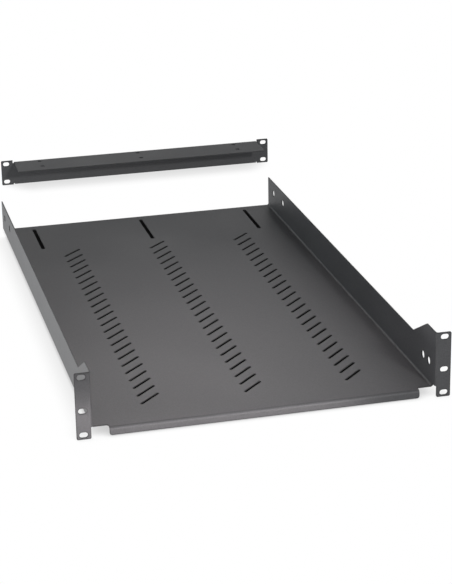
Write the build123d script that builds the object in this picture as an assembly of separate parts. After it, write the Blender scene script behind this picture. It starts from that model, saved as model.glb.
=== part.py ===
"""A 2U shelf for four rack posts: a folded steel tray with front ears, and its 1U rear support bar.

Millimetres, +X to the right, +Y to the rear, +Z up. The origin is the centre of the front ears'
four corner slots, on the ears' rear faces, which bear on the front posts.
"""
from build123d import *
import os

# Rack panel standard
PANEL_WIDTH = 482.6
TRAY_EAR_HEIGHT = 88.1
BAR_EAR_HEIGHT = 43.7
SIDE_TO_SLOT = 8.75
EDGE_TO_SLOT = 5.95
SLOT_RISE = 31.75
EAR_SLOT_LENGTH = 10.8
EAR_SLOT_WIDTH = 7.1
EAR_CORNER_RADIUS = 2.0

# Sheet steel and its folds
SHEET = 1.5
TRAY_BEND_RADIUS = 2.5
BAR_BEND_RADIUS = 1.0
EAR_RELIEF_RISE = 0.2

# Tray
EAR_REACH = 19.1
TRAY_DEPTH = 800.0
FLOOR_HEIGHT = 12.2
WALL_HEIGHT = 59.4
HIGH_WALL_RUN = 34.5
RAMP_RUN = 52.5
FLOOR_SETBACK = 10.0
LIP_INSET = 22.0
LIP_BOTTOM = 1.5
LIP_CORNER_RADIUS = 3.0
LIP_ROOT_RADIUS = 3.0

# Tray openings
VENT_COLUMNS = 3
VENT_COLUMN_SPACING = 134.7
VENT_PITCH = 25.3
VENT_START = 72.0
VENT_TO_FIXING_SLOT = 15.0
VENT_LENGTH = 40.0
VENT_WIDTH = 4.0
VENT_ANGLE = 45.0
VENT_END_SIDES = 12
FIXING_SPACING = 174.6
FIXING_SLOT_LENGTH = 100.0
FIXING_SLOT_WIDTH = 5.8
FIXING_SLOT_TO_REAR = 65.0
WALL_HOLE_DIAMETER = 10.5
WALL_HOLE_HEIGHT = 41.0
FRONT_HOLE_START = 25.3
FRONT_HOLE_SPACING = 21.5
REAR_HOLE_TO_REAR = 32.0
REAR_HOLE_SPACING = 55.0

# Rear support bar
BAR_EAR_WIDTH = 20.3
FLANGE_DEPTH = 65.0
FLANGE_DROP = 2.5
WEB_RISE = 0.7
BAR_RELIEF_WIDTH = 2.0
BAR_RELIEF_DEPTH = 1.5
FLANGE_HOLE_DIAMETER = 7.5
FLANGE_HOLE_INSET = 10.2
FLANGE_HOLE_SPACING = 31.5

# Place of the bar behind the tray
BAR_GAP = 280.0
BAR_SHIFT = 55.0

# Sizes that follow from the ones above
OUTER_RADIUS = TRAY_BEND_RADIUS + SHEET
SLOT_SPACING = PANEL_WIDTH - 2 * SIDE_TO_SLOT
TRAY_WIDTH = PANEL_WIDTH - 2 * EAR_REACH
LIP_WIDTH = TRAY_WIDTH - 2 * LIP_INSET
EAR_FRONT = -SHEET
TRAY_REAR = EAR_FRONT + TRAY_DEPTH
FLOOR_FRONT = EAR_FRONT + FLOOR_SETBACK
FLOOR_MIDDLE = FLOOR_HEIGHT - SHEET / 2
WALL_MIDDLE = TRAY_WIDTH / 2 - SHEET / 2
EAR_RELIEF_TOP = FLOOR_HEIGHT - SHEET + OUTER_RADIUS + EAR_RELIEF_RISE
EAR_INNER = TRAY_WIDTH / 2 + SHEET / 2
FLANGE_TOP = BAR_EAR_HEIGHT - FLANGE_DROP
BAR_EAR_INNER = PANEL_WIDTH / 2 - BAR_EAR_WIDTH
FLANGE_WIDTH = 2 * (BAR_EAR_INNER - BAR_RELIEF_WIDTH)
ORIGIN_HEIGHT = TRAY_EAR_HEIGHT / 2


def fold(*corners, inner_radius=TRAY_BEND_RADIUS):
    """Section of a folded sheet whose middle line runs through these corners."""
    return trace(FilletPolyline(*corners, radius=inner_radius + SHEET / 2), SHEET)


def along_x(sketch, width):
    """A solid from a sketch of (Y, Z), centred on X."""
    return extrude(Plane.YZ * sketch, amount=width / 2, both=True)


def along_y(sketch, front, rear):
    """A solid from a sketch of (X, Z), between two depths."""
    return extrude(Plane.XZ.offset(-front) * sketch, amount=front - rear)


def ear_slots(rises):
    """Slots of both ears, for bolts into the posts, at these heights above the ears' lower edge."""
    places = [(side * SLOT_SPACING / 2, rise) for side in (-1, 1) for rise in rises]
    slots = Sketch() + [Pos(x, z) * SlotOverall(EAR_SLOT_LENGTH, EAR_SLOT_WIDTH) for x, z in places]
    return along_y(slots, -2 * SHEET, 2 * SHEET)


def channel():
    """Floor and both side walls, folded from one strip."""
    wall = (WALL_MIDDLE, WALL_HEIGHT)
    corner = (WALL_MIDDLE, FLOOR_MIDDLE)
    section = fold((-wall[0], wall[1]), (-corner[0], corner[1]), corner, wall)
    return along_y(section, FLOOR_FRONT, TRAY_REAR)


def flanks():
    """Raised front ends of the walls, with the ears folded outwards from them."""
    ramp_end = EAR_FRONT + HIGH_WALL_RUN + RAMP_RUN
    plan = fold((WALL_MIDDLE, ramp_end), (WALL_MIDDLE, EAR_FRONT / 2), (PANEL_WIDTH / 2, EAR_FRONT / 2))
    side_view = Polygon(
        (2 * EAR_FRONT, 0),
        (2 * EAR_FRONT, TRAY_EAR_HEIGHT),
        (EAR_FRONT + HIGH_WALL_RUN, TRAY_EAR_HEIGHT),
        (ramp_end, WALL_HEIGHT),
        (ramp_end, 0),
        align=None,
    )
    flank = extrude(plan, amount=TRAY_EAR_HEIGHT) & along_x(side_view, PANEL_WIDTH)
    flank &= along_y(ear_outline(), 2 * EAR_FRONT, ramp_end)
    return flank + mirror(flank, Plane.YZ)


def ear_outline():
    """Front view of the ears and walls, above and beside the gap that clears the floor's folds."""
    panel = RectangleRounded(PANEL_WIDTH, TRAY_EAR_HEIGHT, EAR_CORNER_RADIUS)
    gap = Rectangle(2 * EAR_INNER, EAR_RELIEF_TOP, align=(Align.CENTER, Align.MIN))
    outline = Pos(0, TRAY_EAR_HEIGHT / 2) * panel - gap
    lower_corners = outline.vertices().group_by(Axis.Y)[0].sort_by(lambda v: abs(v.X))[:2]
    return fillet(lower_corners, EAR_CORNER_RADIUS)


def front_lip():
    """Strip of the floor's front edge, folded down flush with the ears' front faces."""
    drop = FLOOR_HEIGHT - LIP_BOTTOM
    section = fold((EAR_FRONT / 2, LIP_BOTTOM), (EAR_FRONT / 2, FLOOR_MIDDLE), (FLOOR_FRONT, FLOOR_MIDDLE))
    front_view = Pos(0, FLOOR_HEIGHT) * RectangleRounded(LIP_WIDTH, 2 * drop, LIP_CORNER_RADIUS)
    return along_x(section, LIP_WIDTH) & along_y(front_view, 2 * EAR_FRONT, FLOOR_FRONT)


def lip_root():
    """Flat strip between the lip's fold and the floor, with a fillet in the corner at each of its ends."""
    flat = FLOOR_SETBACK - OUTER_RADIUS
    strip = Rectangle(LIP_WIDTH, 2 * flat)
    floor_edge = Rectangle(LIP_WIDTH + 4 * LIP_ROOT_RADIUS, flat, align=(Align.CENTER, Align.MIN))
    outline = strip + floor_edge
    corners = outline.vertices().group_by(Axis.Y)[1].sort_by(lambda v: abs(v.X))[:2]
    plan = Pos(0, FLOOR_FRONT) * fillet(corners, LIP_ROOT_RADIUS)
    return extrude(Pos(0, 0, FLOOR_MIDDLE) * plan, amount=SHEET / 2, both=True)


def vent():
    """One slanted air slot. Its round ends have few sides, as there are many of these slots."""
    straight = VENT_LENGTH - VENT_WIDTH
    end = RegularPolygon(VENT_WIDTH / 2, VENT_END_SIDES)
    outline = Rectangle(straight, VENT_WIDTH) + Pos(straight / 2) * end + Pos(-straight / 2) * end
    return Rot(0, 0, VENT_ANGLE) * outline


def vents():
    """Columns of air slots down the floor, as far as the long slots at its rear."""
    slot = vent()
    first = EAR_FRONT + VENT_START
    last = TRAY_REAR - FIXING_SLOT_TO_REAR - FIXING_SLOT_LENGTH / 2 - VENT_TO_FIXING_SLOT
    last -= slot.bounding_box().size.Y / 2
    rows = [first + i * VENT_PITCH for i in range(1 + int((last - first) / VENT_PITCH))]
    columns = [(i - (VENT_COLUMNS - 1) / 2) * VENT_COLUMN_SPACING for i in range(VENT_COLUMNS)]
    return Sketch() + [Pos(x, y) * slot for x in columns for y in rows]


def fixing_slots():
    """Long slots near the rear edge, in which the tray slides over the bar's bolts."""
    slot = Rot(0, 0, 90) * SlotOverall(FIXING_SLOT_LENGTH, FIXING_SLOT_WIDTH)
    y = TRAY_REAR - FIXING_SLOT_TO_REAR
    return Sketch() + [Pos(i * FIXING_SPACING, y) * slot for i in (-1, 0, 1)]


def wall_holes():
    """Pairs of round holes near both ends of the walls."""
    front = EAR_FRONT + FRONT_HOLE_START
    rear = TRAY_REAR - REAR_HOLE_TO_REAR
    depths = (front, front + FRONT_HOLE_SPACING, rear - REAR_HOLE_SPACING, rear)
    holes = Sketch() + [Pos(y, WALL_HOLE_HEIGHT) * Circle(WALL_HOLE_DIAMETER / 2) for y in depths]
    return along_x(holes, PANEL_WIDTH)


def shelf_tray():
    """The tray, one folded sheet: floor, walls, ears and front lip."""
    floor_cuts = vents() + fixing_slots()
    through_floor = extrude(Pos(0, 0, FLOOR_MIDDLE) * floor_cuts, amount=SHEET, both=True)
    rises = (EDGE_TO_SLOT, EDGE_TO_SLOT + SLOT_RISE, TRAY_EAR_HEIGHT - EDGE_TO_SLOT)
    tray = channel() + flanks() + front_lip() + lip_root()
    return tray - through_floor - wall_holes() - ear_slots(rises)


def bar_outline():
    """Front view of the bar's ears and web, with a small notch between them at the lower edge."""
    relief_bottom = FLANGE_TOP - BAR_BEND_RADIUS - SHEET - EAR_RELIEF_RISE
    panel = Pos(0, BAR_EAR_HEIGHT / 2) * RectangleRounded(PANEL_WIDTH, BAR_EAR_HEIGHT, EAR_CORNER_RADIUS)
    between_ears = Rectangle(2 * BAR_EAR_INNER, BAR_EAR_HEIGHT, align=(Align.CENTER, Align.MIN))
    web = Rectangle(2 * BAR_EAR_INNER, relief_bottom - WEB_RISE, align=(Align.CENTER, Align.MIN))
    notch = Rectangle(BAR_RELIEF_WIDTH, 2 * (WEB_RISE + BAR_RELIEF_DEPTH))
    notches = [Pos(side * (BAR_EAR_INNER - BAR_RELIEF_WIDTH / 2), 0) * notch for side in (-1, 1)]
    return panel - between_ears + Pos(0, WEB_RISE) * web - notches


def rear_support_bar():
    """The bar, one folded sheet: ears and web in one plane, and a flange that carries the tray's rear."""
    flange_middle = FLANGE_TOP - SHEET / 2
    corners = (SHEET / 2, WEB_RISE), (SHEET / 2, flange_middle), (SHEET - FLANGE_DEPTH, flange_middle)
    section = fold(*corners, inner_radius=BAR_BEND_RADIUS)
    bar = along_x(section, FLANGE_WIDTH) + along_y(bar_outline(), 0, SHEET)
    hole_rows = (-FLANGE_HOLE_INSET, -FLANGE_HOLE_INSET - FLANGE_HOLE_SPACING)
    hole = Circle(FLANGE_HOLE_DIAMETER / 2)
    holes = Sketch() + [Pos(i * FIXING_SPACING, y) * hole for i in (-1, 0, 1) for y in hole_rows]
    through_flange = extrude(Pos(0, 0, flange_middle) * holes, amount=SHEET, both=True)
    rises = (EDGE_TO_SLOT, EDGE_TO_SLOT + SLOT_RISE)
    return bar - through_flange - ear_slots(rises)


def save(shape, node):
    """Writes one piece in the shared frame."""
    export_step(Pos(0, 0, -ORIGIN_HEIGHT) * shape, f"parts/{node}.step")


os.makedirs("parts", exist_ok=True)
save(shelf_tray(), "shelf_tray")
save(Pos(BAR_SHIFT, TRAY_REAR + BAR_GAP, 0) * rear_support_bar(), "rear_support_bar")
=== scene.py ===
"""Looks of the rack shelf: powder-coated sheet steel on a pale floor.

All lengths are in metres, in the frame of the CAD model.
"""
import math

import bpy
from mathutils import Matrix, Vector


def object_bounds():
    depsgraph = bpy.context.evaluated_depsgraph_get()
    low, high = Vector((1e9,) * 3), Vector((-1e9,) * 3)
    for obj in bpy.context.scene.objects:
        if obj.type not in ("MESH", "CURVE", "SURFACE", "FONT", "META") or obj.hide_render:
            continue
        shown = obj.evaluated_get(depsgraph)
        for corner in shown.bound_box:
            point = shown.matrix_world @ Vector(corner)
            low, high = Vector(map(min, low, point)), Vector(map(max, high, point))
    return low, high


# Camera, in the photograph's view: angles in degrees, lens and sensor in millimetres
CAMERA_PLACE = (-0.5520, -2.0482, 0.9163)
CAMERA_YAW = 13.765
CAMERA_PITCH = 20.495
CAMERA_ROLL = -1.053
CAMERA_LENS = 114.62
SENSOR_WIDTH = 36.0

# Powder coat of each piece: two shades, two roughnesses and one level of gloss
COATS = {"shelf_tray": "tray_coat", "rear_support_bar": "bar_coat"}
COAT_DARK = (0.066, 0.066, 0.068)
COAT_LIGHT = (0.076, 0.076, 0.078)
COAT_ROUGHNESS = (0.49, 0.55)
COAT_GLOSS = 0.35

# Broad mottling: its size, and the part of its noise between the two shades and roughnesses
MOTTLE_SIZE = 0.12
MOTTLE_DETAIL = 4
MOTTLE_SHADES = (0.35, 0.65)
MOTTLE_SHEEN = (0.3, 0.7)

# Fine specks, from this much darker to this much lighter, and the orange-peel grain
SPECK_SIZE = 0.0018
SPECK_DETAIL = 2
SPECK_RANGE = (0.3, 0.7)
SPECK_SHADES = (0.88, 1.12)
GRAIN_SIZE = 0.0006
GRAIN_DETAIL = 3
GRAIN_DEPTH = 0.00003

# Cut edges: their rounding, and a band of painted shade along them and on the walls of cuts.
# The band is full where the rounded face turns from the flat one by the first cosine, and gone
# at the second.
EDGE_ROUND = 0.0004
EDGE_BAND = 0.0025
EDGE_TURN = (0.80, 0.99)
EDGE_PAINTED_SHADE = 0.05
EDGE_ROUND_SAMPLES = 4
EDGE_BAND_SAMPLES = 6

# Floor, and the tray's shadow on it: half its width, where it starts behind the ears, how
# far it runs on behind the tray, how soft its rim is, and how bright it is
FLOOR_SIZE = 16.0
FLOOR_COLOUR = (0.85, 0.85, 0.85)
SHADOW_HALF_WIDTH = 0.213
SHADOW_FRONT = 0.0385
SHADOW_THROW = 0.03
SHADOW_SOFTNESS = 0.008
SHADOW_SHADE = 0.006

# Faint shade on the floor close to the pieces, by how open the floor is there
CONTACT_REACH = 0.05
CONTACT_RANGE = (0.1, 0.8)
CONTACT_SHADE = 0.6
CONTACT_SAMPLES = 16

# Light from all round, and the white surround. It darkens to the level at its top
# between two heights, where 0 is the horizon and 1 is overhead.
WORLD_LIGHT = (0.17, 0.2, 0.24)
SKY_RANGE = (0.45, 0.8)
SKY_TOP = 0.1

# Lamps: place, aim, width and height, spread in degrees, power in watts, and colour
NEUTRAL = (1, 1, 1)
WARM = (1, 0.93, 0.945)
COOL = (0.86, 0.97, 1)
LAMPS = {
    "key": ((0.65, -2.0, 1.28), (0.05, 0.6, 0), (0.2, 0.2), 180, 29.0, NEUTRAL),
    "near": ((0.03, 0.02, 0.42), (0.03, 0.02, 0), (0.8, 0.15), 180, 0.75, WARM),
    "back": ((0.12, 1.0, 0.7), (-0.1, 0.08, 0), (0.4, 0.3), 60, 0.3, WARM),
    "left_fill": ((-1.2, 1.0, 0.25), (0.2, 0.9, 0), (0.5, 0.2), 180, 2.6, COOL),
    "left_bounce": ((-1.0, 0.4, -0.015), (-0.2, 0.4, -0.02), (1.0, 0.05), 180, 5.5, NEUTRAL),
    "front_bounce": ((-0.11, -0.05, -0.03), (-0.11, 0, -0.034), (0.46, 0.02), 180, 0.19, WARM),
}


def new_node(tree, kind, place, **values):
    """A shader node at a place in its tree, with these properties set."""
    node = tree.nodes.new(kind)
    node.location = place
    for name, value in values.items():
        setattr(node, name, value)
    return node


def calculate(tree, operation, first, second, place):
    """Two values joined by a sum, product or other operation."""
    node = new_node(tree, "ShaderNodeMath", place, operation=operation)
    tree.links.new(first, node.inputs[0])
    tree.links.new(second, node.inputs[1])
    return node.outputs["Value"]


def span(tree, value, low, high, to_low, to_high, place):
    """Maps a value from one range to another, clamped."""
    node = new_node(tree, "ShaderNodeMapRange", place)
    limits = {"From Min": low, "From Max": high, "To Min": to_low, "To Max": to_high}
    for socket, number in limits.items():
        node.inputs[socket].default_value = number
    tree.links.new(value, node.inputs["Value"])
    return node.outputs["Result"]


def between(tree, value, low, high, place):
    """1 inside this range of a value and 0 outside it, with soft ends."""
    x, y = place
    soft = SHADOW_SOFTNESS
    rise = span(tree, value, low - soft, low + soft, 0, 1, (x, y))
    fall = span(tree, value, high - soft, high + soft, 1, 0, (x, y - 250))
    return calculate(tree, "MULTIPLY", rise, fall, (x + 200, y))


def noise(tree, coords, size, detail, place):
    """A noise texture whose features are about this size."""
    node = new_node(tree, "ShaderNodeTexNoise", place)
    node.inputs["Scale"].default_value = 1 / size
    node.inputs["Detail"].default_value = detail
    tree.links.new(coords, node.inputs["Vector"])
    return node.outputs["Fac"]


def colour_span(tree, factor, dark, light, place):
    """A colour between these two, by this factor."""
    node = new_node(tree, "ShaderNodeMix", place, data_type="RGBA")
    node.inputs["A"].default_value = (*dark, 1)
    node.inputs["B"].default_value = (*light, 1)
    tree.links.new(factor, node.inputs["Factor"])
    return node.outputs["Result"]


def shaded(tree, colour, shade, place):
    """A colour made darker or lighter by this shade."""
    node = new_node(tree, "ShaderNodeMix", place, data_type="RGBA", blend_type="MULTIPLY")
    node.inputs["Factor"].default_value = 1
    tree.links.new(colour, node.inputs["A"])
    tree.links.new(shade, node.inputs["B"])
    return node.outputs["Result"]


def rounded_normal(tree, radius, samples, place):
    """The surface's direction, as if its edges were rounded to this radius."""
    node = new_node(tree, "ShaderNodeBevel", place, samples=samples)
    node.inputs["Radius"].default_value = radius
    return node.outputs["Normal"]


def painted_edge_shade(tree):
    """1 on flat faces, and painted shade near cut edges and on the walls of cuts."""
    rounded = rounded_normal(tree, EDGE_BAND, EDGE_BAND_SAMPLES, (-950, -450))
    face = new_node(tree, "ShaderNodeNewGeometry", (-950, -650)).outputs["Normal"]
    turn = new_node(tree, "ShaderNodeVectorMath", (-750, -500), operation="DOT_PRODUCT")
    tree.links.new(rounded, turn.inputs[0])
    tree.links.new(face, turn.inputs[1])
    return span(tree, turn.outputs["Value"], *EDGE_TURN, EDGE_PAINTED_SHADE, 1, (-550, -500))


def powder_coat(name):
    """Semi-matt powder coat: fine grain, faint mottling, and painted shade along cut edges."""
    material = bpy.data.materials.new(name)
    material.use_nodes = True
    tree = material.node_tree
    shader = tree.nodes["Principled BSDF"]
    shader.inputs["Specular IOR Level"].default_value = COAT_GLOSS
    coords = new_node(tree, "ShaderNodeTexCoord", (-1400, 0)).outputs["Object"]

    mottle = noise(tree, coords, MOTTLE_SIZE, MOTTLE_DETAIL, (-1200, 300))
    patches = span(tree, mottle, *MOTTLE_SHADES, 0, 1, (-950, 300))
    colour = colour_span(tree, patches, COAT_DARK, COAT_LIGHT, (-700, 300))
    speck = noise(tree, coords, SPECK_SIZE, SPECK_DETAIL, (-1200, 50))
    specks = span(tree, speck, *SPECK_RANGE, *SPECK_SHADES, (-950, 50))
    speckled = shaded(tree, colour, specks, (-500, 300))
    # painted shade: the base colour darkened near cut edges and on the walls of cuts
    coat_with_painted_shade = shaded(tree, speckled, painted_edge_shade(tree), (-300, 300))
    tree.links.new(coat_with_painted_shade, shader.inputs["Base Color"])

    rough = span(tree, mottle, *MOTTLE_SHEEN, *COAT_ROUGHNESS, (-950, 550))
    tree.links.new(rough, shader.inputs["Roughness"])

    grain = noise(tree, coords, GRAIN_SIZE, GRAIN_DETAIL, (-1200, -250))
    bump = new_node(tree, "ShaderNodeBump", (-300, -300))
    bump.inputs["Distance"].default_value = GRAIN_DEPTH
    tree.links.new(grain, bump.inputs["Height"])
    soft_edge = rounded_normal(tree, EDGE_ROUND, EDGE_ROUND_SAMPLES, (-550, -750))
    tree.links.new(soft_edge, bump.inputs["Normal"])
    tree.links.new(bump.outputs["Normal"], shader.inputs["Normal"])
    return material


def seen(tree):
    """1 on rays from the camera, a reflection or clear glass, 0 on those that carry light."""
    ray = new_node(tree, "ShaderNodeLightPath", (-1000, 500)).outputs
    direct = calculate(tree, "MAXIMUM", ray["Is Camera Ray"], ray["Is Glossy Ray"], (-750, 500))
    return calculate(tree, "MAXIMUM", direct, ray["Is Transmission Ray"], (-550, 500))


def floor_shade(tree, tray_rear):
    """How bright the floor is seen: dark under the tray, and a little darker by the pieces."""
    ground = new_node(tree, "ShaderNodeNewGeometry", (-1800, 0)).outputs["Position"]
    place = new_node(tree, "ShaderNodeSeparateXYZ", (-1600, 0))
    tree.links.new(ground, place.inputs["Vector"])
    half, rear = SHADOW_HALF_WIDTH, tray_rear + SHADOW_THROW
    across = between(tree, place.outputs["X"], -half, half, (-1400, 100))
    along = between(tree, place.outputs["Y"], SHADOW_FRONT, rear, (-1400, -400))
    covered = calculate(tree, "MULTIPLY", across, along, (-950, 0))
    cast = span(tree, covered, 0, 1, 1, SHADOW_SHADE, (-750, 0))

    openness = new_node(
        tree, "ShaderNodeAmbientOcclusion", (-950, -250), samples=CONTACT_SAMPLES
    )
    openness.inputs["Distance"].default_value = CONTACT_REACH
    contact = span(
        tree, openness.outputs["AO"], *CONTACT_RANGE, CONTACT_SHADE, 1, (-750, -250)
    )
    return calculate(tree, "MULTIPLY", cast, contact, (-550, 0))


def pale_floor(tray_rear):
    """White to the camera and in reflections but for the shade, and plainly lit for the rest."""
    material = bpy.data.materials.new("pale_floor")
    material.use_nodes = True
    tree = material.node_tree
    tree.nodes.remove(tree.nodes["Principled BSDF"])
    lit = new_node(tree, "ShaderNodeBsdfDiffuse", (-200, -150))
    lit.inputs["Color"].default_value = (*FLOOR_COLOUR, 1)
    white = new_node(tree, "ShaderNodeEmission", (-200, 0))
    tree.links.new(floor_shade(tree, tray_rear), white.inputs["Color"])

    mix = new_node(tree, "ShaderNodeMixShader", (50, 0))
    tree.links.new(seen(tree), mix.inputs["Fac"])
    tree.links.new(lit.outputs["BSDF"], mix.inputs[1])
    tree.links.new(white.outputs["Emission"], mix.inputs[2])
    tree.links.new(mix.outputs["Shader"], tree.nodes["Material Output"].inputs["Surface"])
    return material


def add_floor(height, tray_rear):
    """A plain pale floor at this height, under a tray that ends at this depth."""
    half = FLOOR_SIZE / 2
    ends = ((-half, -half), (half, -half), (half, half), (-half, half))
    corners = [(x, y, height) for x, y in ends]
    mesh = bpy.data.meshes.new("floor")
    mesh.from_pydata(corners, [], [(0, 1, 2, 3)])
    mesh.materials.append(pale_floor(tray_rear))
    floor = bpy.data.objects.new("floor", mesh)
    bpy.context.scene.collection.objects.link(floor)


def add_world():
    """A faint cool light from all round, seen as a white surround that is dark overhead."""
    world = bpy.data.worlds.new("studio")
    world.use_nodes = True
    tree = world.node_tree
    background = tree.nodes["Background"]
    colour = colour_span(tree, seen(tree), WORLD_LIGHT, NEUTRAL, (-300, 150))
    tree.links.new(colour, background.inputs["Color"])

    coords = new_node(tree, "ShaderNodeTexCoord", (-1000, -300))
    direction = new_node(tree, "ShaderNodeSeparateXYZ", (-800, -300))
    tree.links.new(coords.outputs["Generated"], direction.inputs["Vector"])
    strength = span(tree, direction.outputs["Z"], *SKY_RANGE, 1, SKY_TOP, (-550, -300))
    tree.links.new(strength, background.inputs["Strength"])
    bpy.context.scene.world = world


def add_softbox(name, place, aim, size, spread, power, colour):
    """A flat lamp at a place, aimed at a point, that the camera doesn't see."""
    data = bpy.data.lights.new(name, "AREA")
    data.shape = "RECTANGLE"
    data.size, data.size_y = size
    data.spread = math.radians(spread)
    data.energy = power
    data.color = colour
    lamp = bpy.data.objects.new(name, data)
    turn = (Vector(place) - Vector(aim)).to_track_quat("Z", "Y").to_matrix().to_4x4()
    lamp.matrix_world = Matrix.Translation(place) @ turn
    lamp.visible_camera = False
    bpy.context.scene.collection.objects.link(lamp)


def add_camera():
    """The photograph's view: a long lens from the front left, looking down."""
    yaw, pitch, roll = (math.radians(a) for a in (CAMERA_YAW, CAMERA_PITCH, CAMERA_ROLL))
    ahead = Vector((math.sin(yaw), math.cos(yaw), 0))
    forward = math.cos(pitch) * ahead - Vector((0, 0, math.sin(pitch)))
    level = Vector((math.cos(yaw), -math.sin(yaw), 0))
    upright = level.cross(forward)
    right = math.cos(roll) * level + math.sin(roll) * upright
    up = math.cos(roll) * upright - math.sin(roll) * level
    data = bpy.data.cameras.new("camera")
    data.sensor_width = SENSOR_WIDTH
    data.lens = CAMERA_LENS
    camera = bpy.data.objects.new("camera", data)
    turn = Matrix((right, up, -forward)).transposed().to_4x4()
    camera.matrix_world = Matrix.Translation(CAMERA_PLACE) @ turn
    bpy.context.scene.collection.objects.link(camera)
    bpy.context.scene.camera = camera


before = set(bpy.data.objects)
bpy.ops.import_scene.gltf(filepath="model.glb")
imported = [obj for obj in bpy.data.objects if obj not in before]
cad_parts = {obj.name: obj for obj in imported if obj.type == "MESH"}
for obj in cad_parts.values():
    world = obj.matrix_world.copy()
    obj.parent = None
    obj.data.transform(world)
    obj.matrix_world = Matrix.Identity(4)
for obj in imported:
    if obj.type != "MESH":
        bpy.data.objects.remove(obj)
cad_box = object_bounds()
for node_name, coat_name in COATS.items():
    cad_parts[node_name].data.materials[0] = powder_coat(coat_name)
tray_depths = [corner[1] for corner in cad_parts["shelf_tray"].bound_box]
add_floor(cad_box[0][2], max(tray_depths))
add_world()
for lamp_name, lamp_values in LAMPS.items():
    add_softbox(lamp_name, *lamp_values)
add_camera()
bpy.context.scene.view_settings.view_transform = "Standard"
